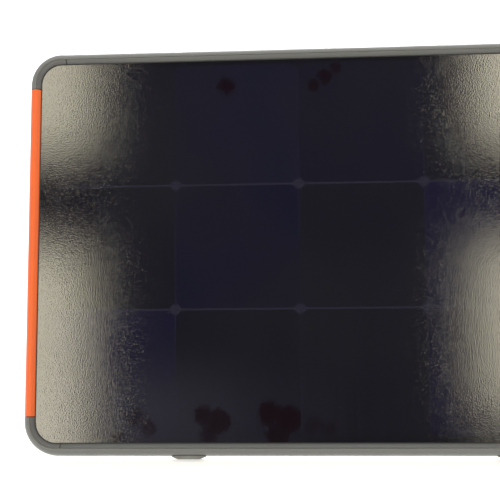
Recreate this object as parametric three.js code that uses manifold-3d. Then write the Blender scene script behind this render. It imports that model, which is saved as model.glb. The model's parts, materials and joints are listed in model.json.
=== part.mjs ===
// Portable solar panel charger: a framed leaf of twelve cells, a rear stand and a USB charge controller.
// Millimetres, +Z up. The leaf leans back on its stand, with its face towards -Y.
// Leaf axes: x to the right, y up the face, z out of the face. z = 0 is the front of the laminate.
import * as THREE from "three";
import { mergeVertices } from "three/addons/utils/BufferGeometryUtils.js";
import Module from "manifold-3d";

const wasm = await Module();
wasm.setup();

// Cells and window
const COLUMNS = 4;
const ROWS = 3;
const CELL = 125;
const CELL_CUT = 6;
const PITCH_X = 126;
const PITCH_Y = 127;
const CELL_SHIFT_Y = 1;
const WINDOW_W = 536;
const WINDOW_H = 391;
const WINDOW_R = 21.6;
const HALF_W = WINDOW_W / 2;
const HALF_H = WINDOW_H / 2;

// Rim
const SEAM = 4.3;
const RIM_OUT = 13.4;
const CREST = 4.9;
const BACK = -17;
const CORNER_TAIL = 5;
const END_GAP = 0.5;
const CORNER_STEPS = 12;

// Layers of the leaf, front and back of each
const FRONT_SHEET = [-0.8, 0];
const CELL_LAYER = [-1.25, -0.95];
const BACK_SHEET = [-3.1, -1.4];
const CORE = [-13.0, -3.4];
const COVER = [-16.6, -13.5];
const LAMINATE_OUT = 3.9;

// Stand
const LEAN = THREE.MathUtils.degToRad(28);
const PIN_Y = 100;
const PIN_Z = -12.3;
const PIN_R = 2.5;
const PIN_HALF = 14;
const LEG_X = 150;
const LEG_W = 20;
const LEG_T = 8;
const LEG_LONG = 288;
const BOOT = 12;
const CROSS_TOP = -256;
const CROSS_TALL = 18;
const CHANNEL_HALF = 14.5;
const CHANNEL_FLOOR = -7.9;
const WALL = 1.6;

// Edge feet
const EDGE_FOOT_X = [-113, 208];
const EDGE_FOOT_LONG = 34;
const EDGE_FOOT_DROP = 2.5;

// Charge controller
const BOX_W = 120;
const BOX_LOW = 20;
const BOX_HIGH = 94;
const BOX_FRONT = -16.9;
const BOX_BACK = -33.9;
const BOX_R = 8;
const BAY_HALF = 28;
const BAY_DEEP = 9;
const BAY_FRONT = -19.2;
const BAY_BACK = -31.6;
const BOARD = [-22.2, -20.6];
const COVER_PIN_Y = 17.6;
const COVER_PIN_Z = -34.6;

const PALETTE = {
  frame: [0x5c5c5a, 0.45, 0],
  bezel: [0x4e4e4c, 0.5, 0],
  grip: [0xf0642a, 0.5, 0],
  film: [0x15131f, 0.15, 0],
  cell: [0x141433, 0.35, 0.2],
  backing: [0x2a2a2c, 0.7, 0],
  foam: [0xc9c7bd, 0.9, 0],
  ribbon: [0x9a9a98, 0.35, 1],
  cover: [0x3a3b3c, 0.6, 0],
  box: [0x2c2d2f, 0.55, 0],
  rubber: [0x1b1b1c, 0.85, 0],
  steel: [0xa9abad, 0.3, 1],
  board: [0x1f5a3a, 0.5, 0],
  part: [0x303134, 0.6, 0],
  lens: [0x9fe0a0, 0.2, 0],
};

function mesh(name, geometry, colour) {
  const [color, roughness, metalness] = PALETTE[colour];
  const made = new THREE.Mesh(geometry, new THREE.MeshStandardMaterial({ color, roughness, metalness }));
  made.name = name;
  return made;
}

// Solids and booleans
function outward(geometry) {
  const g = geometry;
  const p = g.attributes.position;
  const n = g.index.array;
  let volume = 0;
  for (let i = 0; i < n.length; i += 3) {
    const a = new THREE.Vector3().fromBufferAttribute(p, n[i]);
    const b = new THREE.Vector3().fromBufferAttribute(p, n[i + 1]);
    const c = new THREE.Vector3().fromBufferAttribute(p, n[i + 2]);
    volume += a.dot(b.cross(c));
  }
  if (volume < 0) {
    for (let i = 0; i < n.length; i += 3) {
      [n[i + 1], n[i + 2]] = [n[i + 2], n[i + 1]];
    }
  }
  return g;
}

function clean(geometry) {
  const g = geometry.clone();
  g.deleteAttribute("normal");
  g.deleteAttribute("uv");
  return mergeVertices(g, 1e-4);
}

function solid(geometry) {
  const g = clean(geometry);
  const triVerts = new Uint32Array(g.index.array);
  return new wasm.Manifold(
    new wasm.Mesh({ numProp: 3, vertProperties: new Float32Array(g.attributes.position.array), triVerts }),
  );
}

function shell(body) {
  const m = body.getMesh();
  const v = new Float32Array(m.numVert * 3);
  for (let i = 0; i < m.numVert; i++) {
    v.set(m.vertProperties.subarray(i * m.numProp, i * m.numProp + 3), i * 3);
  }
  const g = new THREE.BufferGeometry();
  g.setAttribute("position", new THREE.BufferAttribute(v, 3));
  g.setIndex(new THREE.BufferAttribute(new Uint32Array(m.triVerts), 1));
  g.computeVertexNormals();
  return g;
}

function carve(base, added, removed) {
  let body = solid(base);
  for (const g of added) {
    body = body.add(solid(g));
  }
  for (const g of removed) {
    body = body.subtract(solid(g));
  }
  return shell(body);
}

// Basic shapes, each given by its limits
function block(x0, x1, y0, y1, z0, z1) {
  const g = new THREE.BoxGeometry(x1 - x0, y1 - y0, z1 - z0);
  return g.translate((x0 + x1) / 2, (y0 + y1) / 2, (z0 + z1) / 2);
}

function rodX(r, x0, x1, y, z, steps = 32) {
  const g = new THREE.CylinderGeometry(r, r, x1 - x0, steps);
  return g.rotateZ(Math.PI / 2).translate((x0 + x1) / 2, y, z);
}

function rodY(r, x, y0, y1, z, steps = 32) {
  return new THREE.CylinderGeometry(r, r, y1 - y0, steps).translate(x, (y0 + y1) / 2, z);
}

function rodZ(r, x, y, z0, z1, steps = 32) {
  return new THREE.CylinderGeometry(r, r, z1 - z0, steps).rotateX(Math.PI / 2).translate(x, y, (z0 + z1) / 2);
}

function roundedShape(x0, x1, y0, y1, r) {
  const s = new THREE.Shape();
  s.moveTo(x0 + r, y0);
  s.lineTo(x1 - r, y0);
  s.absarc(x1 - r, y0 + r, r, -Math.PI / 2, 0);
  s.lineTo(x1, y1 - r);
  s.absarc(x1 - r, y1 - r, r, 0, Math.PI / 2);
  s.lineTo(x0 + r, y1);
  s.absarc(x0 + r, y1 - r, r, Math.PI / 2, Math.PI);
  s.lineTo(x0, y0 + r);
  s.absarc(x0 + r, y0 + r, r, Math.PI, 1.5 * Math.PI);
  return s;
}

function plate(x0, x1, y0, y1, r, z0, z1, steps = 10) {
  const options = { depth: z1 - z0, bevelEnabled: false, curveSegments: steps };
  return new THREE.ExtrudeGeometry(roundedShape(x0, x1, y0, y1, r), options).translate(0, 0, z0);
}

// A plate that reaches a given distance outside the window's edge
function leafPlate(out, z0, z1) {
  return plate(-HALF_W - out, HALF_W + out, -HALF_H - out, HALF_H + out, WINDOW_R + out, z0, z1, CORNER_STEPS);
}

// Sections of the rim: [distance outside the window's edge, height over the laminate]
const OUTER_CURVE = [
  [4.5, CREST],
  [6.2, 4.6],
  [8.0, 3.6],
  [9.6, 1.9],
  [10.9, -0.8],
  [12.0, -4.4],
  [12.85, -8.4],
  [RIM_OUT, -12.0],
];

const RIM_SECTION = [
  ...OUTER_CURVE,
  [13.1, -14.4],
  [12.2, -16.1],
  [10.6, BACK],
  [3.0, BACK],
  [3.0, -13.2],
  [-3.0, -13.2],
  [-3.0, -3.4],
  [SEAM, -3.4],
  [SEAM, 4.75],
];

const BEZEL_SECTION = [
  [0, 0.6],
  [0.25, 1.25],
  [1.2, 2.5],
  [2.6, 3.9],
  [3.5, 4.6],
  [4.05, 4.65],
  [4.05, 0.6],
];

// Its inner lip shows as a thin black line round the laminate
const GASKET_SECTION = [
  [-0.8, 0.12],
  [-0.8, 0.45],
  [3.8, 0.45],
  [3.8, 0.12],
];

const GRIP_SECTION = [
  ...BEZEL_SECTION.slice(0, 5),
  ...OUTER_CURVE,
  [11.0, -12.0],
  [10.9, -7.6],
  [10.4, -4.0],
  [9.5, -1.3],
  [8.3, 0.5],
  [6.9, 1.6],
  [5.4, 2.2],
  [4.1, 2.3],
  [4.1, 0.6],
];

const GRIP_POCKET = [
  [4.2, 10],
  [20, 10],
  [20, -12.3],
  [10.7, -12.3],
  [10.6, -7.7],
  [10.1, -4.2],
  [9.2, -1.6],
  [8.1, 0.15],
  [6.75, 1.25],
  [5.3, 1.85],
  [4.2, 1.95],
];

// Stations round the window: a point and the outward direction there
function cornerStations(sx, sy, tail) {
  const cx = sx * (HALF_W - WINDOW_R);
  const cy = sy * (HALF_H - WINDOW_R);
  const start = Math.atan2(sy, sx) - Math.PI / 4;
  const list = [];
  for (let i = 0; i <= CORNER_STEPS; i++) {
    const a = start + (i * Math.PI) / 2 / CORNER_STEPS;
    const n = [Math.cos(a), Math.sin(a)];
    list.push({ at: [cx + WINDOW_R * n[0], cy + WINDOW_R * n[1]], n });
  }
  if (tail > 0) {
    list.unshift(shifted(list[0], tail, 1));
    list.push(shifted(list[list.length - 1], tail, -1));
  }
  return list;
}

// The same section moved straight on, back or forward along the rim
function shifted(station, by, sign) {
  const [nx, ny] = station.n;
  return { at: [station.at[0] + sign * by * ny, station.at[1] - sign * by * nx], n: station.n };
}

function sweep(section, stations, closed) {
  const points = [];
  for (const s of stations) {
    for (const [out, z] of section) {
      points.push(s.at[0] + out * s.n[0], s.at[1] + out * s.n[1], z);
    }
  }
  const k = section.length;
  const m = stations.length;
  const faces = [];
  const spans = closed ? m : m - 1;
  for (let i = 0; i < spans; i++) {
    const j = (i + 1) % m;
    for (let a = 0; a < k; a++) {
      const b = (a + 1) % k;
      faces.push(i * k + a, j * k + a, j * k + b);
      faces.push(i * k + a, j * k + b, i * k + b);
    }
  }
  if (!closed) {
    const outline = section.map(([x, y]) => new THREE.Vector2(x, y));
    const turn = THREE.ShapeUtils.isClockWise(outline) ? -1 : 1;
    for (const [a, b, c] of THREE.ShapeUtils.triangulateShape(outline, [])) {
      const last = (m - 1) * k;
      faces.push(...(turn > 0 ? [a, b, c] : [a, c, b]));
      faces.push(...(turn > 0 ? [last + a, last + c, last + b] : [last + a, last + b, last + c]));
    }
    matchCaps(faces, points, section, stations);
  }
  const g = new THREE.BufferGeometry();
  g.setAttribute("position", new THREE.BufferAttribute(new Float32Array(points), 3));
  g.setIndex(faces);
  return outward(g);
}

// Turns the end caps round when they face the same way as the skin beside them
function matchCaps(faces, points, section, stations) {
  const edges = new Set();
  const skin = (stations.length - 1) * section.length * 6;
  for (let i = 0; i < skin; i += 3) {
    for (let e = 0; e < 3; e++) {
      edges.add(faces[i + e] + "," + faces[i + ((e + 1) % 3)]);
    }
  }
  let clash = false;
  for (let i = skin; i < faces.length; i += 3) {
    for (let e = 0; e < 3; e++) {
      clash = clash || edges.has(faces[i + e] + "," + faces[i + ((e + 1) % 3)]);
    }
  }
  if (clash) {
    for (let i = skin; i < faces.length; i += 3) {
      [faces[i + 1], faces[i + 2]] = [faces[i + 2], faces[i + 1]];
    }
  }
}

// A straight length of section on one side: side is the outward direction, from and to run along it
function straight(section, side, from, to) {
  const [nx, ny] = side;
  const edge = nx ? HALF_W : HALF_H;
  const stations = [from, to].map((t) => ({ at: nx ? [nx * edge, t] : [t, ny * edge], n: side }));
  return sweep(section, stations, false);
}

function wholeRim(section) {
  const stations = [
    ...cornerStations(1, -1, 0),
    ...cornerStations(1, 1, 0),
    ...cornerStations(-1, 1, 0),
    ...cornerStations(-1, -1, 0),
  ];
  return sweep(section, stations, true);
}

const GRIP_END = HALF_H - WINDOW_R - CORNER_TAIL - END_GAP;
const BEZEL_END = HALF_W - WINDOW_R - CORNER_TAIL - END_GAP;

function frameRim() {
  const pockets = [-1, 1].map((s) => straight(GRIP_POCKET, [s, 0], -GRIP_END - END_GAP, GRIP_END + END_GAP));
  return mesh("frame_rim", carve(wholeRim(RIM_SECTION), [], pockets), "frame");
}

function bezels() {
  const list = [
    mesh("bezel_top", straight(BEZEL_SECTION, [0, 1], -BEZEL_END, BEZEL_END), "bezel"),
    mesh("bezel_bottom", straight(BEZEL_SECTION, [0, -1], -BEZEL_END, BEZEL_END), "bezel"),
  ];
  const corners = { top_right: [1, 1], top_left: [-1, 1], bottom_left: [-1, -1], bottom_right: [1, -1] };
  for (const [name, [sx, sy]] of Object.entries(corners)) {
    const stations = cornerStations(sx, sy, CORNER_TAIL);
    list.push(mesh("bezel_corner_" + name, sweep(BEZEL_SECTION, stations, false), "bezel"));
  }
  return list;
}

function grips() {
  return [
    mesh("side_grip_left", straight(GRIP_SECTION, [-1, 0], -GRIP_END, GRIP_END), "grip"),
    mesh("side_grip_right", straight(GRIP_SECTION, [1, 0], -GRIP_END, GRIP_END), "grip"),
  ];
}

// The laminate
function cell(name, x, y) {
  const h = CELL / 2;
  const s = new THREE.Shape();
  s.moveTo(-h + CELL_CUT, -h);
  s.lineTo(h - CELL_CUT, -h);
  s.lineTo(h, -h + CELL_CUT);
  s.lineTo(h, h - CELL_CUT);
  s.lineTo(h - CELL_CUT, h);
  s.lineTo(-h + CELL_CUT, h);
  s.lineTo(-h, h - CELL_CUT);
  s.lineTo(-h, -h + CELL_CUT);
  s.closePath();
  const g = new THREE.ExtrudeGeometry(s, { depth: CELL_LAYER[1] - CELL_LAYER[0], bevelEnabled: false });
  return mesh(name, g.translate(x, y, CELL_LAYER[0]), "cell");
}

function cells() {
  const list = [];
  for (let row = 0; row < ROWS; row++) {
    for (let column = 0; column < COLUMNS; column++) {
      const x = (column - (COLUMNS - 1) / 2) * PITCH_X;
      const y = ((ROWS - 1) / 2 - row) * PITCH_Y + CELL_SHIFT_Y;
      list.push(cell("cell_" + (row + 1) + "_" + (column + 1), x, y));
    }
  }
  return list;
}

function laminate() {
  const ribbonX = (COLUMNS / 2) * PITCH_X + 4.5;
  const ribbonY = 160;
  return [
    mesh("laminate_front", leafPlate(LAMINATE_OUT, ...FRONT_SHEET), "film"),
    ...cells(),
    mesh("busbar_left", block(-ribbonX - 3, -ribbonX + 3, -ribbonY, ribbonY, ...CELL_LAYER), "ribbon"),
    mesh("busbar_right", block(ribbonX - 3, ribbonX + 3, -ribbonY, ribbonY, ...CELL_LAYER), "ribbon"),
    mesh("laminate_back", leafPlate(LAMINATE_OUT, ...BACK_SHEET), "backing"),
    mesh("gasket", wholeRim(GASKET_SECTION), "rubber"),
  ];
}

// The stand's channels in the back, as blocks grown by a wall
function channels(grow, z0, z1) {
  const low = PIN_Y - LEG_LONG - 1.5 - grow;
  const high = PIN_Y + 14 + grow;
  const crossLow = PIN_Y + CROSS_TOP - CROSS_TALL - 3 - grow;
  const crossHigh = PIN_Y + CROSS_TOP + 3 + grow;
  const half = CHANNEL_HALF + grow;
  return [
    block(-LEG_X - half, -LEG_X + half, low, high, z0, z1),
    block(LEG_X - half, LEG_X + half, low, high, z0, z1),
    block(-LEG_X, LEG_X, crossLow, crossHigh, z0, z1),
  ];
}

function coreBoard() {
  const pockets = channels(WALL + 0.5, -20, CHANNEL_FLOOR + WALL + 0.5);
  return mesh("core_board", carve(leafPlate(-3.4, ...CORE), [], pockets), "foam");
}

function rearCover() {
  const wells = channels(WALL, COVER[0] + 0.5, CHANNEL_FLOOR + WALL);
  const hollows = channels(0, -25, CHANNEL_FLOOR);
  return mesh("rear_cover", carve(leafPlate(2.7, ...COVER), wells, hollows), "cover");
}

function rearBumpers() {
  const places = { top_left: [-240, 172], top_right: [240, 172], bottom_left: [-240, -172], bottom_right: [240, -172] };
  return Object.entries(places).map(([name, [x, y]]) =>
    mesh("rear_bumper_" + name, rodZ(8, x, y, COVER[0] - 2.9, COVER[0] - 0.3, 24), "rubber"),
  );
}

// Rubber feet under the bottom edge, hollowed to the rim's curve
function edgeFoot(name, x) {
  const bottom = -HALF_H - RIM_OUT - EDGE_FOOT_DROP;
  const s = new THREE.Shape();
  const half = EDGE_FOOT_LONG / 2;
  s.moveTo(-half, 6);
  s.lineTo(-half, 2.5);
  s.lineTo(-half + 6, 0);
  s.lineTo(half - 6, 0);
  s.lineTo(half, 2.5);
  s.lineTo(half, 6);
  s.closePath();
  const body = new THREE.ExtrudeGeometry(s, { depth: 11, bevelEnabled: false }).translate(x, bottom, -15.5);
  const rim = RIM_SECTION.map(([out, z]) => [out + 0.3, z]);
  const room = straight(rim, [0, -1], x - half - 5, x + half + 5);
  return mesh(name, carve(body, [], [room]), "rubber");
}

// Stand hinge: a clevis and its pin at each leg
function bracket(name, x) {
  const inner = LEG_W / 2 + 0.4;
  const outer = CHANNEL_HALF - 0.5;
  const z0 = PIN_Z - 4;
  const z1 = CHANNEL_FLOOR - 0.3;
  const web = block(x - outer, x + outer, PIN_Y + 6, PIN_Y + 12, z0, z1);
  const ears = [
    block(x - outer, x - inner, PIN_Y - 7, PIN_Y + 7, z0, z1),
    block(x + inner, x + outer, PIN_Y - 7, PIN_Y + 7, z0, z1),
  ];
  const bore = rodX(PIN_R + 0.06, x - 20, x + 20, PIN_Y, PIN_Z);
  return mesh(name, carve(web, ears, [bore]), "steel");
}

function hinges() {
  return [
    bracket("stand_bracket_left", -LEG_X),
    bracket("stand_bracket_right", LEG_X),
    mesh("stand_pin_left", rodX(PIN_R, -LEG_X - PIN_HALF, -LEG_X + PIN_HALF, PIN_Y, PIN_Z), "steel"),
    mesh("stand_pin_right", rodX(PIN_R, LEG_X - PIN_HALF, LEG_X + PIN_HALF, PIN_Y, PIN_Z), "steel"),
  ];
}

// Stand pieces, with the pin's axis as their origin and the legs along -y
function leg(name, x) {
  const s = new THREE.Shape();
  const h = LEG_T / 2;
  s.moveTo(-h, -LEG_LONG + BOOT);
  s.lineTo(h, -LEG_LONG + BOOT);
  s.lineTo(h, 0);
  s.absarc(0, 0, h, 0, Math.PI);
  s.closePath();
  const options = { depth: LEG_W, bevelEnabled: false, curveSegments: 16 };
  const bar = new THREE.ExtrudeGeometry(s, options).rotateY(Math.PI / 2).translate(x - LEG_W / 2, 0, 0);
  const bore = rodX(PIN_R + 0.06, x - 20, x + 20, 0, 0);
  const slot = plate(x - 4, x + 4, -LEG_LONG + 60, -40, 4, h - 1.2, h + 2, 8);
  const slotBack = plate(x - 4, x + 4, -LEG_LONG + 60, -40, 4, -h - 2, -h + 1.2, 8);
  return mesh(name, carve(bar, [], [bore, slot, slotBack]), "frame");
}

function boot(name, x) {
  const h = LEG_T / 2;
  const s = new THREE.Shape();
  s.moveTo(h, -LEG_LONG + h);
  s.lineTo(h, -LEG_LONG + BOOT - 0.3);
  s.lineTo(-h, -LEG_LONG + BOOT - 0.3);
  s.lineTo(-h, -LEG_LONG + h);
  s.absarc(0, -LEG_LONG + h, h, Math.PI, 2 * Math.PI);
  const options = { depth: LEG_W + 4, bevelEnabled: false, curveSegments: 24 };
  const g = new THREE.ExtrudeGeometry(s, options).rotateY(Math.PI / 2).translate(x - LEG_W / 2 - 2, 0, 0);
  return mesh(name, g, "rubber");
}

function crossbar() {
  const half = LEG_X - LEG_W / 2 - 0.3;
  const bar = block(-half, half, CROSS_TOP - CROSS_TALL, CROSS_TOP, -LEG_T / 2, LEG_T / 2);
  const pull = plate(-35, 35, CROSS_TOP - CROSS_TALL + 4, CROSS_TOP - 4, 3, -LEG_T, -LEG_T / 2 + 2, 8);
  return mesh("stand_crossbar", carve(bar, [], [pull]), "frame");
}

function stand() {
  const group = new THREE.Group();
  group.add(leg("stand_leg_left", -LEG_X));
  group.add(leg("stand_leg_right", LEG_X));
  group.add(crossbar());
  group.add(boot("stand_foot_left", -LEG_X));
  group.add(boot("stand_foot_right", LEG_X));
  group.position.set(0, PIN_Y, PIN_Z);
  group.rotation.x = standAngle();
  return group;
}

// The angle between leaf and stand at which both the edge feet and the boots stand on the ground
function standAngle() {
  const c = Math.cos(LEAN);
  const s = Math.sin(LEAN);
  const ground = (-HALF_H - RIM_OUT - EDGE_FOOT_DROP) * c - 15.5 * s;
  const pin = PIN_Y * c + PIN_Z * s - ground;
  const r = LEG_T / 2;
  return LEAN + Math.acos((pin - r) / (LEG_LONG - r));
}

// Charge controller
const PORTS = {
  usb_a: { x: -15, half: 7.0, tall: 6.4 },
  usb_c: { x: 3, half: 4.6, tall: 3.4 },
  dc: { x: 18, r: 4.3 },
};
const PORT_LOW = BOX_LOW + BAY_DEEP - 0.4;
const PORT_HIGH = PORT_LOW + 13;

function portLimits(p, grow) {
  const z1 = BOARD[0] - 0.3 + grow;
  const z0 = BOARD[0] - 0.3 - p.tall - grow;
  return [p.x - p.half - grow, p.x + p.half + grow, z0, z1];
}

function housing() {
  const x = BOX_W / 2;
  const base = plate(-x, x, BOX_LOW, BOX_HIGH, BOX_R, BOX_BACK, BOX_FRONT);
  const hollow = plate(-x + 2, x - 2, BOX_LOW + 2, BOX_HIGH - 2, BOX_R - 2, BOX_BACK - 5, BOX_FRONT - 2);
  const open = solid(base).subtract(solid(hollow));
  const bay = block(-BAY_HALF - 2, BAY_HALF + 2, BOX_LOW + 0.5, BOX_LOW + BAY_DEEP + 2, BOX_BACK, BOX_FRONT - 1);
  const recess = block(-BAY_HALF, BAY_HALF, BOX_LOW - 5, BOX_LOW + BAY_DEEP, BAY_BACK, BAY_FRONT);
  const [ax0, ax1, az0, az1] = portLimits(PORTS.usb_a, 0.25);
  const [cx0, cx1, cz0, cz1] = portLimits(PORTS.usb_c, 0.25);
  const wall = [BOX_LOW + BAY_DEEP - 2, BOX_LOW + BAY_DEEP + 4];
  const dcZ = BOARD[0] - 0.3 - PORTS.dc.r;
  const cuts = [
    recess,
    block(ax0, ax1, ...wall, az0, az1),
    block(cx0, cx1, ...wall, cz0, cz1),
    rodY(PORTS.dc.r + 0.25, PORTS.dc.x, ...wall, dcZ),
  ];
  const ears = [-1, 1].map((s) => {
    const lugs = [s * (BAY_HALF + 2.5), s * (BAY_HALF + 5)].sort((a, b) => a - b);
    return block(...lugs, COVER_PIN_Y - 1.8, BOX_LOW + 1, COVER_PIN_Z - 1.8, BOX_BACK + 3);
  });
  const bore = rodX(0.96, -50, 50, COVER_PIN_Y, COVER_PIN_Z, 20);
  let body = open.add(solid(bay));
  for (const g of ears) {
    body = body.add(solid(g));
  }
  for (const g of [...cuts, bore]) {
    body = body.subtract(solid(g));
  }
  return mesh("controller_housing", shell(body), "box");
}

function lid() {
  const x = BOX_W / 2;
  const z1 = BOX_BACK - 0.3;
  const cap = plate(-x, x, BOX_LOW, BOX_HIGH, BOX_R, z1 - 2.2, z1);
  const lightHole = rodZ(1.8, 40, 80, z1 - 6, z1 + 2, 20);
  const earRoom = [-1, 1].map((s) => {
    const room = [s * (BAY_HALF + 2), s * (BAY_HALF + 5.5)].sort((a, b) => a - b);
    return block(...room, BOX_LOW - 1, BOX_LOW + 1.5, z1 - 6, z1 + 2);
  });
  return mesh("controller_lid", carve(cap, [], [lightHole, ...earRoom]), "box");
}

// A connector shell: a tube of metal closed at its far end
function metalPort(name, p, wall) {
  const [x0, x1, z0, z1] = portLimits(p, 0);
  const body = block(x0, x1, PORT_LOW, PORT_HIGH, z0, z1);
  const hollow = block(x0 + wall, x1 - wall, PORT_LOW - 2, PORT_HIGH - 2, z0 + wall, z1 - wall);
  return mesh(name, carve(body, [], [hollow]), "steel");
}

function dcSocket() {
  const r = PORTS.dc.r;
  const z = BOARD[0] - 0.3 - r;
  const outer = rodY(r, PORTS.dc.x, PORT_LOW, PORT_HIGH, z);
  const bore = solid(rodY(3.1, PORTS.dc.x, PORT_LOW - 2, PORT_HIGH - 3, z)).subtract(
    solid(rodY(1, PORTS.dc.x, PORT_LOW + 1.5, PORT_HIGH, z, 16)),
  );
  return mesh("dc_socket", shell(solid(outer).subtract(bore)), "part");
}

function electronics() {
  const top = BOARD[0] - 0.3;
  const torus = new THREE.TorusGeometry(6, 2.6, 12, 28).translate(-32, 62, top - 2.6);
  return [
    mesh("circuit_board", block(-54, 54, BOX_LOW + BAY_DEEP + 4, BOX_HIGH - 5, ...BOARD), "board"),
    metalPort("usb_a_port", PORTS.usb_a, 0.6),
    metalPort("usb_c_port", PORTS.usb_c, 0.45),
    dcSocket(),
    mesh("inductor", torus, "part"),
    mesh("capacitor", rodZ(4, -10, 66, top - 9.5, top, 24), "part"),
    mesh("regulator_chip", block(8, 18, 56, 66, top - 1.4, top), "part"),
    mesh("status_light", rodZ(1.5, 40, 80, BOX_BACK - 2.9, top, 20), "lens"),
  ];
}

// Rubber flap over the ports and the rod it turns on
function portCover() {
  const tab = block(-BAY_HALF - 1.5, BAY_HALF + 1.5, COVER_PIN_Y - 0.9, COVER_PIN_Y + 1.6, COVER_PIN_Z + 0.5, -18.4);
  const barrel = rodX(1.9, -BAY_HALF - 1.5, BAY_HALF + 1.5, COVER_PIN_Y, COVER_PIN_Z, 24);
  const padTop = COVER_PIN_Y + 2.6;
  const pad = block(-BAY_HALF + 1, BAY_HALF - 1, COVER_PIN_Y + 1, padTop, BAY_BACK + 0.8, BAY_FRONT - 0.9);
  const bore = rodX(1.0, -50, 50, COVER_PIN_Y, COVER_PIN_Z, 20);
  return mesh("port_cover", carve(tab, [barrel, pad], [bore]), "rubber");
}

function coverRod() {
  const half = BAY_HALF + 5.2;
  return mesh("port_cover_rod", rodX(0.9, -half, half, COVER_PIN_Y, COVER_PIN_Z, 20), "steel");
}

function assemble() {
  const leaf = new THREE.Group();
  const pieces = [
    frameRim(),
    ...bezels(),
    ...grips(),
    ...laminate(),
    coreBoard(),
    rearCover(),
    ...rearBumpers(),
    edgeFoot("edge_foot_left", EDGE_FOOT_X[0]),
    edgeFoot("edge_foot_right", EDGE_FOOT_X[1]),
    ...hinges(),
    housing(),
    lid(),
    ...electronics(),
    portCover(),
    coverRod(),
    stand(),
  ];
  for (const piece of pieces) {
    leaf.add(piece);
  }
  leaf.rotation.x = Math.PI / 2 - LEAN;
  const whole = new THREE.Group();
  whole.add(leaf);
  whole.updateMatrixWorld(true);
  const limits = new THREE.Box3().setFromObject(whole, true);
  const middle = limits.getCenter(new THREE.Vector3());
  leaf.position.set(-middle.x, -middle.y, -limits.min.z);
  whole.updateMatrixWorld(true);
  return whole;
}

const group = assemble();

export default group;
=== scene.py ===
"""Looks of a portable solar charging panel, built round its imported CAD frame.

Leaf axes, used for every piece of the leaf: x to the right, y up the face, z out of the face,
with z = 0 on the front of the laminate. Lengths are millimetres until a mesh is made."""

import json
import math

import bmesh
import bpy
from mathutils import Matrix, Vector

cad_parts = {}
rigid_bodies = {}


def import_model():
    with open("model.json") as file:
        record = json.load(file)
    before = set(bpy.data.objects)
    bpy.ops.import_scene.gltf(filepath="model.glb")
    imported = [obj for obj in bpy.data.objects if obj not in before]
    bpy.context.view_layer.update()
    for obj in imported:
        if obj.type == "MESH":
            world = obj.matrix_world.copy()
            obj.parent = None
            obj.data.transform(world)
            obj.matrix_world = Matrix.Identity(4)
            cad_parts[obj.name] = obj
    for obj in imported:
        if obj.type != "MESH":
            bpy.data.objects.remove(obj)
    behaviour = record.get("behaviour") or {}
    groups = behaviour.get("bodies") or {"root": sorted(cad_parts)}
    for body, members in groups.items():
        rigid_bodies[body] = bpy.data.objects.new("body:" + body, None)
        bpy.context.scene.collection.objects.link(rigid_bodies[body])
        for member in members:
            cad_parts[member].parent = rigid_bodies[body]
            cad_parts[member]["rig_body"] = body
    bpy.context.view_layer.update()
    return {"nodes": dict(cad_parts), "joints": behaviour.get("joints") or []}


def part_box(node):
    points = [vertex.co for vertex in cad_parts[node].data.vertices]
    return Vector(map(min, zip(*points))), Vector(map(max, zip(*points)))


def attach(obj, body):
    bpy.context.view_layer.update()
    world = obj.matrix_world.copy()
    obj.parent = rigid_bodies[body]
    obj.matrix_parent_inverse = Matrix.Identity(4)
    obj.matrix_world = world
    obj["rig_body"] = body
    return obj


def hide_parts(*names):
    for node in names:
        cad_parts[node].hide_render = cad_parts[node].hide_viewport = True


MM = 0.001
LEAN = math.radians(28)

# The window of the leaf and its rim, as the CAD has them
HALF_W, HALF_H, WINDOW_R = 268.0, 195.5, 21.6
CORNER_TAIL, END_GAP = 5.0, 0.5
GRIP_END = HALF_H - WINDOW_R - CORNER_TAIL - END_GAP
BEZEL_END = HALF_W - WINDOW_R - CORNER_TAIL - END_GAP
COVER_BACK = -16.6
LID_BACK = -36.4
PITCH_X, PITCH_Y, CELL, CELL_CUT, CELL_SHIFT = 126.0, 127.0, 125.0, 6.0, 1.0
ARRAY_X, ARRAY_Y = 2 * PITCH_X, 1.5 * PITCH_Y
CORNER_STEPS = 32

# Edges that bend more than this many degrees are drawn sharp, or rounded by refine
SHARP_EDGE, BEVEL_EDGE = 35, 30

# The stage, in metres: the lamps' distance from the leaf and half the floor's side
LAMP_HEIGHT = 1.5
FLOOR_HALF = 14

# The camera in leaf axes, in metres, and its lens in millimetres
CAMERA_AT = (0.0095, -0.1109, 0.9392)
CAMERA_FORWARD = (-0.06302, 0.11392, -0.99149)
CAMERA_RIGHT = (0.99792, -0.00640, -0.06416)
LENS = 67.4

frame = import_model()
JOINTS = {j["name"]: j for j in frame["joints"]}


def leaf_matrix():
    """From leaf axes to the row frame. The origin is the middle of the laminate's front."""
    turn = Matrix.Rotation(math.pi / 2 - LEAN, 4, "X")
    low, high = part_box("laminate_front")
    middle = (low + high) / 2 + turn.to_3x3() @ Vector((0, 0, 0.4 * MM))
    return Matrix.Translation(middle) @ turn


def stand_matrix():
    """From stand axes, with the pins' line as origin and the legs along -y, to the row frame."""
    joint = JOINTS["stand_fold"]
    turn = math.pi / 2 - LEAN - math.radians(joint["range_deg"][0])
    return Matrix.Translation(joint["pos_m"]) @ Matrix.Rotation(turn, 4, "X")


LEAF = leaf_matrix()
STAND = stand_matrix()


# ---------------------------------------------------------------- outlines


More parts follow.
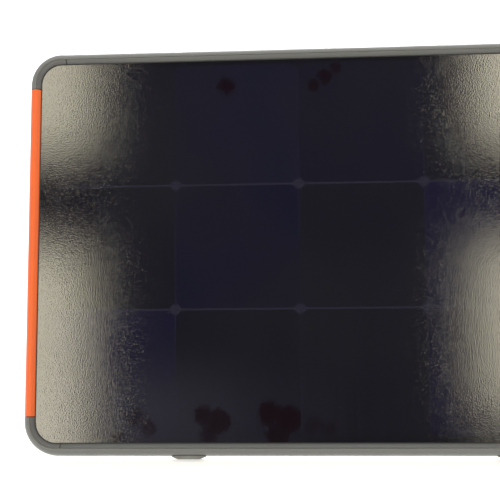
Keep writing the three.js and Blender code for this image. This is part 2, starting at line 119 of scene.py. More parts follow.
def smooth_curve(points, steps):
    """A smooth line through the points, which stay on it."""
    p = [Vector(q) for q in points]
    p = [2 * p[0] - p[1], *p, 2 * p[-1] - p[-2]]
    out = []
    for i in range(1, len(p) - 2):
        for k in range(steps):
            t = k / steps
            a, b, c, d = p[i - 1 : i + 3]
            bend = 2 * a - 5 * b + 4 * c - d
            twist = 3 * b - a - 3 * c + d
            out.append(0.5 * (2 * b + (c - a) * t + bend * t * t + twist * t**3))
    return [tuple(q) for q in out] + [tuple(p[-2])]


def fillet(points, radius, steps=3, sharpest=150, open_line=False):
    """Rounds the corners of an outline that turn more than a little."""
    out = []
    n = len(points)
    for i in range(n):
        if open_line and i in (0, n - 1):
            out.append(tuple(points[i]))
            continue
        a, b, c = (Vector(points[j % n]) for j in (i - 1, i, i + 1))
        u, v = (a - b), (c - b)
        if u.length < 1e-6 or v.length < 1e-6 or math.degrees(u.angle(v)) > sharpest:
            out.append(tuple(b))
            continue
        cut = min(radius, u.length * 0.4, v.length * 0.4)
        start, end = b + u.normalized() * cut, b + v.normalized() * cut
        for k in range(steps + 1):
            t = k / steps
            out.append(tuple((1 - t) ** 2 * start + 2 * t * (1 - t) * b + t * t * end))
    return out


def inset(points, amount):
    """Moves a closed outline inwards."""
    n = len(points)
    area = sum(points[i - 1][0] * points[i][1] - points[i][0] * points[i - 1][1] for i in range(n))
    side = 1 if area > 0 else -1
    out = []
    for i in range(n):
        a, b, c = (Vector(points[j % n]) for j in (i - 1, i, i + 1))
        e, f = (b - a).normalized(), (c - b).normalized()
        normal = Vector((-(e.y + f.y), e.x + f.x))
        if normal.length > 1e-6:
            normal.normalize()
        out.append(tuple(b + normal * amount * side))
    return out


# Sections of the rim: distance outside the window's edge, height over the laminate
OUTER_CURVE = [
    *((4.5, 4.9), (6.2, 4.6), (8.0, 3.6), (9.6, 1.9)),
    *((10.9, -0.8), (12.0, -4.4), (12.85, -8.4), (13.4, -12.0)),
]
BACK_CURVE = [(13.4, -12.0), (13.1, -14.4), (12.2, -16.1), (10.6, -17.0)]
POCKET_CURVE = [
    *((4.3, 1.95), (5.3, 1.85), (6.75, 1.25), (8.1, 0.15)),
    *((9.2, -1.6), (10.1, -4.2), (10.6, -7.7), (10.7, -12.3)),
]
GRIP_INNER = [
    *((11.0, -12.0), (10.9, -7.6), (10.4, -4.0), (9.5, -1.3)),
    *((8.3, 0.5), (6.9, 1.6), (5.4, 2.2), (4.1, 2.3)),
]
BEZEL_SLOPE = [(0.25, 1.25), (1.2, 2.5), (2.6, 3.9), (3.5, 4.6)]
RIM_INSIDE = [(3.0, -17.0), (3.0, -13.2), (-3.0, -13.2), (-3.0, -3.4), (4.3, -3.4)]


def even(points, count):
    """The same line through a given number of points, spaced evenly."""
    p = [Vector(q) for q in points]
    along = [0.0]
    for a, b in zip(p, p[1:]):
        along.append(along[-1] + (b - a).length)
    out, k = [], 0
    for i in range(count):
        at = along[-1] * i / (count - 1)
        while k < len(p) - 2 and along[k + 1] < at:
            k += 1
        share = (at - along[k]) / max(along[k + 1] - along[k], 1e-9)
        out.append(tuple(p[k] + (p[k + 1] - p[k]) * min(share, 1)))
    return out


def rim_section(pocket=False):
    """The rim's section, or what is left of it behind a grip, with as many points."""
    if pocket:
        outer = [*smooth_curve(POCKET_CURVE, 3), (13.38, -12.3)]
    else:
        outer = [(4.3, 4.7), *smooth_curve(OUTER_CURVE, 4)]
    inside = fillet([BACK_CURVE[-1], *RIM_INSIDE, (4.3, 1.9)], 0.4, open_line=True)[:-1]
    return [*even(outer, 36), *smooth_curve(BACK_CURVE, 4)[1:-1], *inside]


def bezel_section():
    """A bezel strip's section: a slope up from the laminate, with a flat back."""
    slope = smooth_curve(BEZEL_SLOPE, 4)
    return fillet([(0, 0.6), *slope, (4.05, 4.65), (4.05, 0.6)], 0.3)


def grip_section():
    """A side grip's section: a shell over the bezel's slope and the rim's outer curve."""
    outer = smooth_curve(OUTER_CURVE, 4)
    slope = smooth_curve(BEZEL_SLOPE, 4)
    inner = smooth_curve(GRIP_INNER, 3)
    return fillet([(0, 0.6), *slope, *outer, *inner, (4.1, 0.6)], 0.35)


def corner(sx, sy):
    """Stations round one corner of the window, anticlockwise: point, outward direction."""
    cx, cy = sx * (HALF_W - WINDOW_R), sy * (HALF_H - WINDOW_R)
    start = math.atan2(sy, sx) - math.pi / 4
    out = []
    for i in range(CORNER_STEPS + 1):
        a = start + i * math.pi / 2 / CORNER_STEPS
        n = Vector((math.cos(a), math.sin(a)))
        out.append((Vector((cx, cy)) + WINDOW_R * n, n))
    return out


def slide_on(station, by):
    """The same station moved on along the rim, clockwise for a positive distance."""
    at, n = station
    return at + by * Vector((n.y, -n.x)), n


# A section closes in towards the end of a piece: distance from the end, how far in
END_ROUND = [(0.0, 0.5), (0.07, 0.3), (0.22, 0.12), (0.5, 0.02), (0.8, 0.0)]


def with_round_ends(stations):
    """Rounds both ends of a piece of rim: stations as point, direction, inset."""
    first, last = stations[0], stations[-1]
    head = [(*slide_on(first, d), i) for d, i in END_ROUND]
    tail = [(*slide_on(last, -d), i) for d, i in reversed(END_ROUND)]
    return [*head, *[(at, n, 0.0) for at, n in stations[1:-1]], *tail]


# ---------------------------------------------------------------- meshes


def mesh_object(name, verts, faces, matrix, body, material):
    """A piece from millimetre vertices, smooth but for its sharp edges, riding on a body."""
    mesh = bpy.data.meshes.new(name)
    mesh.from_pydata([matrix @ (Vector(v) * MM) for v in verts], [], faces)
    bm = bmesh.new()
    bm.from_mesh(mesh)
    bmesh.ops.remove_doubles(bm, verts=bm.verts, dist=1e-7)
    bmesh.ops.recalc_face_normals(bm, faces=bm.faces)
    bm.to_mesh(mesh)
    bm.free()
    mesh.shade_smooth()
    mesh.set_sharp_from_angle(angle=math.radians(SHARP_EDGE))
    obj = bpy.data.objects.new(name, mesh)
    bpy.context.scene.collection.objects.link(obj)
    obj.data.materials.append(material)
    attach(obj, body)
    return obj


def rings_to_mesh(rings, closed=False):
    """Vertices and faces of a skin over rings of equal length, capped unless it closes on itself."""
    k = len(rings[0])
    verts = [v for ring in rings for v in ring]
    faces = []
    spans = len(rings) if closed else len(rings) - 1
    for i in range(spans):
        j = (i + 1) % len(rings)
        faces += [(i * k + a, j * k + a, j * k + (a + 1) % k, i * k + (a + 1) % k) for a in range(k)]
    if not closed:
        faces.append(tuple(range(k)))
        faces.append(tuple(range(len(verts) - k, len(verts))))
    return verts, faces


def sweep(section, stations):
    """Rings of a rim piece: the section carried along its stations."""
    rings = []
    for at, n, depth in stations:
        outline = inset(section, depth) if depth else section
        rings.append([(at.x + d * n.x, at.y + d * n.y, z) for d, z in outline])
    return rings


def join_meshes(parts):
    """One list of vertices and faces out of several."""
    verts, faces = [], []
    for v, f in parts:
        base = len(verts)
        verts += v
        faces += [tuple(i + base for i in face) for face in f]
    return verts, faces


def refine(node, width, material, segments=3):
    """A finer copy of a CAD node with rounded edges, in the node's place."""
    source = frame["nodes"][node]
    bm = bmesh.new()
    bm.from_mesh(source.data)
    bmesh.ops.remove_doubles(bm, verts=bm.verts, dist=2e-6)
    bmesh.ops.dissolve_limit(bm, angle_limit=math.radians(0.6), verts=bm.verts, edges=bm.edges)
    bmesh.ops.recalc_face_normals(bm, faces=bm.faces)
    mesh = bpy.data.meshes.new(node + "_fine")
    bm.to_mesh(mesh)
    bm.free()
    mesh.shade_smooth()
    obj = bpy.data.objects.new(node + "_fine", mesh)
    bpy.context.scene.collection.objects.link(obj)
    bevel = obj.modifiers.new("edge", "BEVEL")
    bevel.width = width * MM
    bevel.segments = segments
    bevel.limit_method = "ANGLE"
    bevel.angle_limit = math.radians(BEVEL_EDGE)
    bevel.use_clamp_overlap = True
    normals = obj.modifiers.new("normals", "WEIGHTED_NORMAL")
    normals.keep_sharp = False
    obj.data.materials.append(material)
    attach(obj, source["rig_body"])
    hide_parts(node)
    return obj


# ---------------------------------------------------------------- materials


def set_range(node, *numbers):
    """The four limits of a Map Range node."""
    for key, number in zip(("From Min", "From Max", "To Min", "To Max"), numbers):
        node.inputs[key].default_value = number


class Tree:
    """A material's node tree, with short calls for the nodes that are used here."""

    def __init__(self, name):
        self.material = bpy.data.materials.new(name)
        self.material.use_nodes = True
        self.nodes = self.material.node_tree.nodes
        self.links = self.material.node_tree.links
        self.shader = self.nodes["Principled BSDF"]
        self.object_space = self.nodes.new("ShaderNodeTexCoord").outputs["Object"]

    def put(self, socket, value):
        if isinstance(value, bpy.types.NodeSocket):
            self.links.new(value, socket)
        else:
            socket.default_value = value

    def leaf_space(self):
        """Leaf axes in millimetres."""
        node = self.nodes.new("ShaderNodeMapping")
        node.vector_type = "TEXTURE"
        node.inputs["Location"].default_value = LEAF.to_translation()
        node.inputs["Rotation"].default_value = LEAF.to_euler()
        node.inputs["Scale"].default_value = (MM, MM, MM)
        self.links.new(self.object_space, node.inputs["Vector"])
        return node.outputs["Vector"]

    def stretched(self, vector, scale):
        node = self.nodes.new("ShaderNodeMapping")
        node.inputs["Scale"].default_value = scale
        self.links.new(vector, node.inputs["Vector"])
        return node.outputs["Vector"]

    def math(self, kind, *values):
        node = self.nodes.new("ShaderNodeMath")
        node.operation = kind
        for socket, value in zip(node.inputs, values):
            self.put(socket, value)
        return node.outputs[0]

    def noise(self, scale, detail=2.0, rough=0.5, vector=None):
        node = self.nodes.new("ShaderNodeTexNoise")
        node.inputs["Scale"].default_value = scale
        node.inputs["Detail"].default_value = detail
        node.inputs["Roughness"].default_value = rough
        self.links.new(vector or self.object_space, node.inputs["Vector"])
        return node.outputs["Fac"]

    def voronoi(self, scale, vector):
        node = self.nodes.new("ShaderNodeTexVoronoi")
        node.inputs["Scale"].default_value = scale
        self.links.new(vector, node.inputs["Vector"])
        return node.outputs["Distance"]

    def ramp(self, value, low, high, to_low=0.0, to_high=1.0, smooth=False):
        node = self.nodes.new("ShaderNodeMapRange")
        node.interpolation_type = "SMOOTHSTEP" if smooth else "LINEAR"
        set_range(node, low, high, to_low, to_high)
        self.put(node.inputs["Value"], value)
        return node.outputs["Result"]

    def mix(self, share, a, b):
        node = self.nodes.new("ShaderNodeMix")
        node.data_type = "RGBA"
        self.put(node.inputs["Factor"], share)
        for index, value in ((6, a), (7, b)):
            self.put(node.inputs[index], (*value, 1)[:4] if isinstance(value, tuple) else value)
        return node.outputs[2]

    def bump(self, height, distance, strength=1.0, normal=None):
        node = self.nodes.new("ShaderNodeBump")
        node.inputs["Strength"].default_value = strength
        node.inputs["Distance"].default_value = distance
        self.links.new(height, node.inputs["Height"])
        if normal is not None:
            self.links.new(normal, node.inputs["Normal"])
        return node.outputs["Normal"]

    def finish(self, **values):
        for key, value in values.items():
            socket = self.shader.inputs[key.replace("_", " ")]
            if isinstance(value, tuple):
                value = (*value, 1)[:4]
            self.put(socket, value)
        return self.material


def moulded(name, colour, rough, grain=900, depth=0.00006, shade=0.12, wear=0.25, **more):
    """Moulded plastic: a fine sparked texture, slow changes of tone, and paler worn edges."""
    t = Tree(name)
    slow = t.noise(9, 3)
    fine = t.noise(grain, 3, 0.6)
    dark = tuple(c * (1 - shade) for c in colour)
    light = tuple(min(1, c * (1 + shade)) for c in colour)
    tone = t.mix(t.ramp(slow, 0.3, 0.7), dark, light)
    speck = t.mix(t.ramp(fine, 0.35, 0.7, 0.0, 0.35), tone, dark)
    edge = t.nodes.new("ShaderNodeNewGeometry").outputs["Pointiness"]
    scuffs = t.math("MULTIPLY", t.ramp(edge, 0.52, 0.6), t.ramp(t.noise(60, 4), 0.45, 0.7, 0, wear))
    pale = tuple(min(1, c * 1.6 + 0.04) for c in colour)
    roughness = t.ramp(t.noise(35, 3), 0.3, 0.7, rough - 0.06, rough + 0.06)
    return t.finish(
        Base_Color=t.mix(scuffs, speck, pale), Roughness=roughness, Normal=t.bump(fine, depth), **more
    )


def rubber(name, colour=(0.02, 0.02, 0.021)):
    """Matt rubber with a soft bloom of dust."""
    t = Tree(name)
    dust = t.ramp(t.noise(45, 5, 0.65), 0.45, 0.75, 0, 0.5)
    grain = t.noise(1400, 2)
    pale = tuple(c * 2.2 + 0.01 for c in colour)
    return t.finish(
        Base_Color=t.mix(dust, colour, pale),
        Roughness=t.ramp(dust, 0, 0.5, 0.62, 0.8),
        Normal=t.bump(grain, 0.00005),
    )


def metal(name, colour, rough, stretch=(1, 40, 40)):
    """Satin metal with drawn lines along one way."""
    t = Tree(name)
    lines = t.noise(220, 3, 0.6, t.stretched(t.object_space, stretch))
    blotch = t.noise(25, 3)
    dark = tuple(c * 0.82 for c in colour)
    return t.finish(
        Base_Color=t.mix(t.ramp(blotch, 0.3, 0.7), dark, colour),
        Metallic=1.0,
        Roughness=t.ramp(lines, 0.25, 0.75, rough - 0.07, rough + 0.09),
        Normal=t.bump(lines, 0.00002),
    )


def flat_board(name, colour, rough=0.6, scale=160):
    """A plain inner sheet with a little mottling."""
    t = Tree(name)
    mottle = t.noise(scale, 4)
    dark = tuple(c * 0.7 for c in colour)
    return t.finish(
        Base_Color=t.mix(mottle, dark, colour),
        Roughness=t.ramp(mottle, 0.3, 0.7, rough - 0.05, rough + 0.08),
        Normal=t.bump(mottle, 0.00003),
    )


def cell_pattern(t):
    """Masks for being on a cell, well inside the array and in a gap between rows, a random number for
    each cell, and the leaf's axes."""
    axes = t.nodes.new("ShaderNodeSeparateXYZ")
    t.links.new(t.leaf_space(), axes.inputs[0])
    x, y = axes.outputs["X"], axes.outputs["Y"]
    column = t.math("DIVIDE", x, PITCH_X)
    row = t.math("ADD", t.math("DIVIDE", t.math("SUBTRACT", y, CELL_SHIFT), PITCH_Y), 0.5)
    dx = t.math("MULTIPLY", t.math("ABSOLUTE", t.math("SUBTRACT", t.math("FRACT", column), 0.5)), PITCH_X)
    dy = t.math("MULTIPLY", t.math("ABSOLUTE", t.math("SUBTRACT", t.math("FRACT", row), 0.5)), PITCH_Y)
    side = t.math("MAXIMUM", dx, dy)
    chamfer = t.math("SUBTRACT", t.math("ADD", dx, dy), CELL / 2 - CELL_CUT)
    inside = t.ramp(t.math("MAXIMUM", side, chamfer), CELL / 2 - 0.2, CELL / 2 + 0.2, 1, 0, smooth=True)
    far_x = t.math("ABSOLUTE", x)
    far_y = t.math("ABSOLUTE", t.math("SUBTRACT", y, CELL_SHIFT))
    in_x = t.ramp(far_x, ARRAY_X - 0.6, ARRAY_X - 0.2, 1, 0)
    in_y = t.ramp(far_y, ARRAY_Y - 1.1, ARRAY_Y - 0.7, 1, 0)
    on_cell = t.math("MULTIPLY", inside, t.math("MULTIPLY", in_x, in_y))
    row_gap = t.ramp(dy, CELL / 2 - 5, CELL / 2 - 2.5)
    from_edge_x = t.math("SUBTRACT", ARRAY_X, far_x)
    from_edge_y = t.math("SUBTRACT", ARRAY_Y, far_y)
    in_array = t.ramp(t.math("MINIMUM", from_edge_x, from_edge_y), 4, 9, 0, 1)
    where = t.nodes.new("ShaderNodeCombineXYZ")
    t.links.new(t.math("FLOOR", column), where.inputs[0])
    t.links.new(t.math("FLOOR", row), where.inputs[1])
    random = t.nodes.new("ShaderNodeTexWhiteNoise")
    t.links.new(where.outputs[0], random.inputs["Vector"])
    return on_cell, in_array, row_gap, random.outputs, axes.outputs


# Stains on the laminate in leaf axes: x, y, radius, how dark
STAINS = [
    *((-73, 168, 9, 0.85), (39, 184, 6, 0.7), (28, 176, 8, 0.8), (17, 167, 7, 0.8)),
    *((-166, -170, 9, 0.5), (-152, -180, 8, 0.6), (-184, -190, 7, 0.5)),
    *((-98, -168, 10, 0.8), (-84, -174, 13, 0.8), (-92, -186, 9, 0.7)),
    *((-32, -166, 12, 0.9), (-14, -172, 14, 0.9), (-24, -186, 12, 0.8)),
    *((12, -178, 8, 0.4), (28, -182, 7, 0.4)),
]


def laminate_film():
    """The laminate seen through its embossed front: cells, the gaps between them, stains, and a painted sheen
    that lightens it towards the lower left in place of the lamps' spread reflection.
    """
    t = Tree("laminate_film")
    on_cell, in_array, row_gap, random, axes = cell_pattern(t)
    mm = t.leaf_space()
    stripes = t.ramp(t.noise(0.55, 2, 0.5, t.stretched(mm, (1, 0.004, 1))), 0.3, 0.7)
    cloud = t.noise(0.006, 3, 0.5, mm)
    tint = t.nodes.new("ShaderNodeSeparateColor")
    t.links.new(random["Color"], tint.inputs[0])
    grey = t.mix(tint.outputs[0], (0.0028, 0.0025, 0.0052), (0.0048, 0.0045, 0.0082))
    blue = t.mix(tint.outputs[0], (0.0028, 0.0021, 0.0110), (0.0050, 0.0044, 0.0180))
    cell = t.mix(t.ramp(tint.outputs[1], 0.2, 0.8), grey, blue)
    cell = t.mix(t.ramp(cloud, 0.35, 0.65, 0, 0.7), cell, (0.0068, 0.0066, 0.0088))
    cell = t.mix(t.math("MULTIPLY", stripes, 0.3), cell, (0.0085, 0.0080, 0.0165))
    gap = t.mix(row_gap, (0.0075, 0.0070, 0.0150), (0.0118, 0.0113, 0.0200))
    surface = t.mix(on_cell, t.mix(in_array, (0.0048, 0.0043, 0.0072), gap), cell)
    ragged = t.math("MULTIPLY", t.math("SUBTRACT", t.noise(0.2, 5, 0.7, mm), 0.5), 22)
    stain = None
    for x, y, radius, weight in STAINS:
        across = t.math("POWER", t.math("SUBTRACT", axes["X"], x), 2)
        along = t.math("POWER", t.math("SUBTRACT", axes["Y"], y), 2)
        away = t.math("SQRT", t.math("ADD", across, along))
        spot = t.ramp(t.math("ADD", away, ragged), radius - 3.5, radius + 2.5, weight, 0, smooth=True)
        stain = spot if stain is None else t.math("MAXIMUM", stain, spot)
    # Painted sheen: the film is lightened towards the lower left, standing in for the wide spread of the
    # lamps' reflections there.
    low = t.math("ADD", axes["Y"], t.math("MULTIPLY", ragged, 1.5))
    downwards = t.ramp(low, -90, -170, 0, 1, smooth=True)
    leftwards = t.ramp(axes["X"], 60, -170, 0, 1, smooth=True)
    painted_sheen = t.math("MULTIPLY", downwards, leftwards)
    surface = t.mix(t.math("MULTIPLY", painted_sheen, 0.8), surface, (0.0160, 0.0150, 0.0230))
    surface = t.mix(stain, surface, (0.0036, 0.0006, 0.0020))
    emboss = t.voronoi(0.8, mm)
    grain = t.noise(0.75, 1, 0.6, mm)
    normal = t.bump(emboss, 0.000026)
    normal = t.bump(grain, 0.000070, 1.0, normal)
    wiped = t.noise(0.03, 4, 0.6, t.stretched(mm, (1, 0.5, 1)))
    rough = t.ramp(wiped, 0.3, 0.7, 0.045, 0.065)
    t.shader.inputs["IOR"].default_value = 1.8
    t.shader.inputs["Coat Weight"].default_value = 0.04
    t.shader.inputs["Coat Roughness"].default_value = 0.34
    return t.finish(Base_Color=surface, Roughness=rough, Normal=normal)


def silicon():
    """A back-contact cell: blue-black with fine lines."""
    t = Tree("cell_silicon")
    lines = t.noise(0.8, 2, 0.5, t.stretched(t.leaf_space(), (1, 0.01, 1)))
    return t.finish(
        Base_Color=t.mix(lines, (0.006, 0.006, 0.016), (0.012, 0.012, 0.03)),
        Roughness=t.ramp(lines, 0.3, 0.7, 0.25, 0.35),
    )


MATERIALS = {
    "frame": moulded("frame_plastic", (0.091, 0.091, 0.0855), 0.42, 700, 0.00005, 0.06),
    "bezel": moulded("bezel_plastic", (0.062, 0.062, 0.058), 0.45, 700, 0.00005, 0.06),
    "bezel_corner": moulded("bezel_corner_plastic", (0.066, 0.063, 0.0590), 0.5, 700, 0.00005, 0.08),
    "grip": moulded("grip_plastic", (0.535, 0.077, 0.0030), 0.46, 800, 0.00005, 0.05, 0.3),
    "cover": moulded(
        "cover_plastic", (0.033, 0.034, 0.036), 0.58, 500, 0.00012, 0.1, Specular_IOR_Level=0.35
    ),
    "housing": moulded("housing_plastic", (0.028, 0.029, 0.031), 0.5, 600, 0.0001, 0.1),
    "stand": moulded("stand_metal", (0.12, 0.122, 0.125), 0.38, 1200, 0.00003, 0.08, 0.5, Metallic=0.6),
    "rubber": rubber("rubber"),
    # Near-black, darker than the other rubber, so the gasket's lip reads as the shade line under the bezel:
    # painted shadow.
    "gasket": rubber("gasket_rubber_and_painted_shadow", (0.006, 0.006, 0.006)),
    "foot": rubber("edge_foot_rubber", (0.125, 0.125, 0.119)),
    "steel": metal("steel", (0.56, 0.57, 0.58), 0.32),
    "screw": metal("screw_steel", (0.30, 0.30, 0.31), 0.34, (1, 1, 1)),
    "ribbon": metal("ribbon_metal", (0.5, 0.5, 0.5), 0.35),
    "gold": metal("contact_gold", (0.8, 0.55, 0.2), 0.25),
    "film": laminate_film(),
    "cell": silicon(),
    "backing": flat_board("backing_sheet", (0.02, 0.02, 0.022)),
    "foam": flat_board("core_foam", (0.55, 0.54, 0.5), 0.85, 400),
    "board": flat_board("board_laminate", (0.02, 0.11, 0.05), 0.45, 90),
    "part": moulded("component_plastic", (0.02, 0.02, 0.022), 0.5),
    "tongue": moulded("tongue_plastic", (0.02, 0.02, 0.022), 0.4),
    "lens": moulded("light_lens", (0.25, 0.65, 0.3), 0.2, 300, 0.00002, 0.05, 0.0),
}

CAD_LOOKS = {
    "laminate_front": "film",
    "laminate_back": "backing",
    "core_board": "foam",
    "busbar_left": "ribbon",
    "busbar_right": "ribbon",
    "circuit_board": "board",
    "inductor": "part",
    "capacitor": "part",
    "regulator_chip": "part",
    "dc_socket": "part",
    "status_light": "lens",
    **{f"cell_{r}_{c}": "cell" for r in (1, 2, 3) for c in (1, 2, 3, 4)},
}


def dress_cad():
    """Gives each CAD node that stays its material."""
    for node, look in CAD_LOOKS.items():
        data = frame["nodes"][node].data
        data.materials.clear()
        data.materials.append(MATERIALS[look])


# ---------------------------------------------------------------- the rim


def rim_piece(node, section, stations, look):
    """A strip along the rim with rounded ends, in the place of a CAD node."""
    verts, faces = rings_to_mesh(sweep(section, with_round_ends(stations)))
    obj = mesh_object(node + "_fine", verts, faces, LEAF, "leaf", MATERIALS[look])
    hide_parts(node)


def clockwise(*corners):
    """Stations round the given corners, clockwise."""
    return [station for sx, sy in corners for station in reversed(corner(sx, sy))]


def side_run(sx, low, high):
    """Two stations up a side, clockwise."""
    n = Vector((sx, 0))
    ends = [high, low] if sx > 0 else [low, high]
    return [(Vector((sx * HALF_W, y)), n) for y in ends]


def build_rim():
    """One closed run, narrower behind the two grips."""
    top = GRIP_END + END_GAP
    full, pocket = rim_section(), rim_section(pocket=True)
    right, left = Vector((1, 0)), Vector((-1, 0))
    run = [(full, *station) for station in [(Vector((-HALF_W, top)), left), *clockwise((-1, 1), (1, 1))]]
    run += [(full, Vector((HALF_W, top)), right)]
    run += [(pocket, Vector((HALF_W, y)), right) for y in (top, -top)]
    run += [(full, Vector((HALF_W, -top)), right)]
    run += [(full, *station) for station in clockwise((1, -1), (-1, -1))]
    run += [(full, Vector((-HALF_W, -top)), left)]
    run += [(pocket, Vector((-HALF_W, y)), left) for y in (-top, top)]
    rings = [[(at.x + d * n.x, at.y + d * n.y, z) for d, z in section] for section, at, n in run]
    verts, faces = rings_to_mesh(rings, closed=True)
    obj = mesh_object("frame_rim_fine", verts, faces, LEAF, "leaf", MATERIALS["frame"])
    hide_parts("frame_rim")


def build_bezels():
    """The top and bottom strips and the four corner caps."""
    section = bezel_section()
    for name, sy in (("top", 1), ("bottom", -1)):
        n = Vector((0, sy))
        ends = [-BEZEL_END, BEZEL_END] if sy > 0 else [BEZEL_END, -BEZEL_END]
        run = [(Vector((x, sy * HALF_H)), n) for x in ends]
        rim_piece(f"bezel_{name}", section, run, "bezel")
    corners = {"top_left": (-1, 1), "top_right": (1, 1), "bottom_left": (-1, -1), "bottom_right": (1, -1)}
    for name, (sx, sy) in corners.items():
        arc = clockwise((sx, sy))
        run = [slide_on(arc[0], -CORNER_TAIL), *arc, slide_on(arc[-1], CORNER_TAIL)]
        rim_piece(f"bezel_corner_{name}", section, run, "bezel_corner")


def build_gasket_and_shadow_line():
    """A closed rubber loop whose inner lip reaches past the window's edge as a thin black line round the
    laminate: painted shadow in place of the shade in the gap under the bezel.
    """
    # The lip starts 0.8 mm inside the window so that its black shows as the shade line under the bezel:
    # painted shadow.
    section = fillet([(-0.8, 0.12), (-0.8, 0.45), (3.8, 0.45), (3.8, 0.12)], 0.14)
    run = clockwise((-1, 1), (1, 1), (1, -1), (-1, -1))
    verts, faces = rings_to_mesh(sweep(section, [(a, n, 0.0) for a, n in run]), closed=True)
    obj = mesh_object("gasket_and_painted_shadow_line", verts, faces, LEAF, "leaf", MATERIALS["gasket"])
    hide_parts("gasket")


def build_grips():
    """The orange strip over each side of the rim."""
    for name, sx in (("left", -1), ("right", 1)):
        run = side_run(sx, -GRIP_END, GRIP_END)
        rim_piece(f"side_grip_{name}", grip_section(), run, "grip")


# ---------------------------------------------------------------- the back


def pill(x0, x1, y, width, base, height):
    """A low moulded rib with round ends, standing towards -z from base."""
    r = width / 2
    rings = []
    levels = ((1.0, -0.3 / height), (1.0, 0.45), (0.88, 0.85), (0.6, 1.0))
    for scale, share in levels:
        z = base - height * share
        ring = []
        for i in range(24):
            a = 2 * math.pi * i / 24
            end = x1 - r if math.cos(a) >= 0 else x0 + r
            ring.append((end + r * scale * math.cos(a), y + r * scale * math.sin(a), z))
        rings.append(ring)
    return rings_to_mesh(rings)


def build_ribs():
    """Fields of ribs on the rear cover and on the controller's lid."""
    fields = {
        "cover_ribs_middle": [(-118, 118, y) for y in range(-136, 8, 14)],
        "cover_ribs_left": [(-252, -178, y) for y in range(-140, 148, 14)],
        "cover_ribs_right": [(178, 252, y) for y in range(-140, 148, 14)],
        "cover_ribs_top": [(-118, 118, y) for y in range(112, 178, 14)],
    }
    for name, bars in fields.items():
        verts, faces = join_meshes([pill(x0, x1, y, 4, COVER_BACK, 0.9) for x0, x1, y in bars])
        mesh_object(name, verts, faces, LEAF, "leaf", MATERIALS["cover"])
    bars = [(-46, 22, y) for y in range(36, 84, 6)]
    verts, faces = join_meshes([pill(x0, x1, y, 2.6, LID_BACK, 0.9) for x0, x1, y in bars])
    mesh_object("lid_ribs", verts, faces, LEAF, "leaf", MATERIALS["housing"])


def screw_mesh(radius, height):
    """A pan head with a hexagonal drive, its seat at z = 0 and its top towards +z."""
    steps = 24
    drive = 0.5
    angles = [2 * math.pi * i / steps for i in range(steps)]

    def circle(r, z):
        return [(r * math.cos(a), r * math.sin(a), z) for a in angles]

    def hexagon(r, z):
        out = []
        for a in angles:
            local = (a + math.pi / 6) % (math.pi / 3) - math.pi / 6
            reach = r * math.cos(math.pi / 6) / math.cos(local)
            out.append((reach * math.cos(a), reach * math.sin(a), z))
        return out

    rings = [
        circle(radius * 0.98, -0.4),
        circle(radius, 0.0),
        circle(radius, height * 0.45),
        circle(radius * 0.93, height * 0.8),
        circle(radius * 0.78, height),
        hexagon(radius * drive * 1.08, height),
        hexagon(radius * drive, height * 0.9),
        hexagon(radius * drive * 0.96, height * 0.15),
    ]
    return rings_to_mesh(rings)


def place(part, at, turn):
    """Turns a mesh and moves it."""
    verts, faces = part
    return [tuple(turn @ Vector(v) + Vector(at)) for v in verts], faces


TO_REAR = Matrix.Rotation(math.pi, 3, "X")
TO_RIGHT = Matrix.Rotation(math.pi / 2, 3, "Y")
TO_LEFT = Matrix.Rotation(-math.pi / 2, 3, "Y")


def build_screws():
    around = [(x, y) for y in (-187, 187) for x in (-205, -70, 70, 205)]
    around += [(x, y) for x in (-260, 260) for y in (-90, 0, 90)]
    cover = [place(screw_mesh(3.2, 1.2), (x, y, COVER_BACK), TO_REAR) for x, y in around]
    lid = [place(screw_mesh(2.4, 1.0), (x, y, LID_BACK), TO_REAR) for x in (-52, 52) for y in (28, 86)]
    holes = [(x + s * 8, 109, -16.3) for x in (-150, 150) for s in (-1, 1)]
    web = [place(screw_mesh(2.1, 0.8), at, TO_REAR) for at in holes]
    for name, parts in (("cover_screws", cover), ("lid_screws", lid), ("bracket_screws", web)):
        verts, faces = join_meshes(parts)
        mesh_object(name, verts, faces, LEAF, "leaf", MATERIALS["screw"])
    legs = []
    for s, turn in ((-1, TO_LEFT), (1, TO_RIGHT)):
        legs += [place(screw_mesh(2.6, 1.0), (s * 160, y, 0), turn) for y in (-260, -270)]
    verts, faces = join_meshes(legs)
    mesh_object("crossbar_screws", verts, faces, STAND, "stand", MATERIALS["screw"])


def build_sockets():
    """Tongues and contacts inside the USB ports."""

    def bar(x0, x1, y0, y1, z0, z1):
        outline = fillet([(x0, z0), (x1, z0), (x1, z1), (x0, z1)], 0.15)
        inner = inset(outline, 0.12)
        ends = ((inner, y0), (outline, y0 + 0.15), (outline, y1))
        return rings_to_mesh([[(x, y, z) for x, z in o] for o, y in ends])

    tongues = [bar(-20.6, -9.4, 30.5, 39.4, -24.9, -23.3), bar(-0.4, 6.4, 30.0, 39.4, -24.55, -23.85)]
    verts, faces = join_meshes(tongues)
    mesh_object("usb_tongues", verts, faces, LEAF, "leaf", MATERIALS["tongue"])
    contacts = [bar(x - 0.5, x + 0.5, 31.2, 39.0, -25.02, -24.88) for x in (-18.5, -16.2, -13.8, -11.5)]
    verts, faces = join_meshes(contacts)
    mesh_object("usb_contacts", verts, faces, LEAF, "leaf", MATERIALS["gold"])


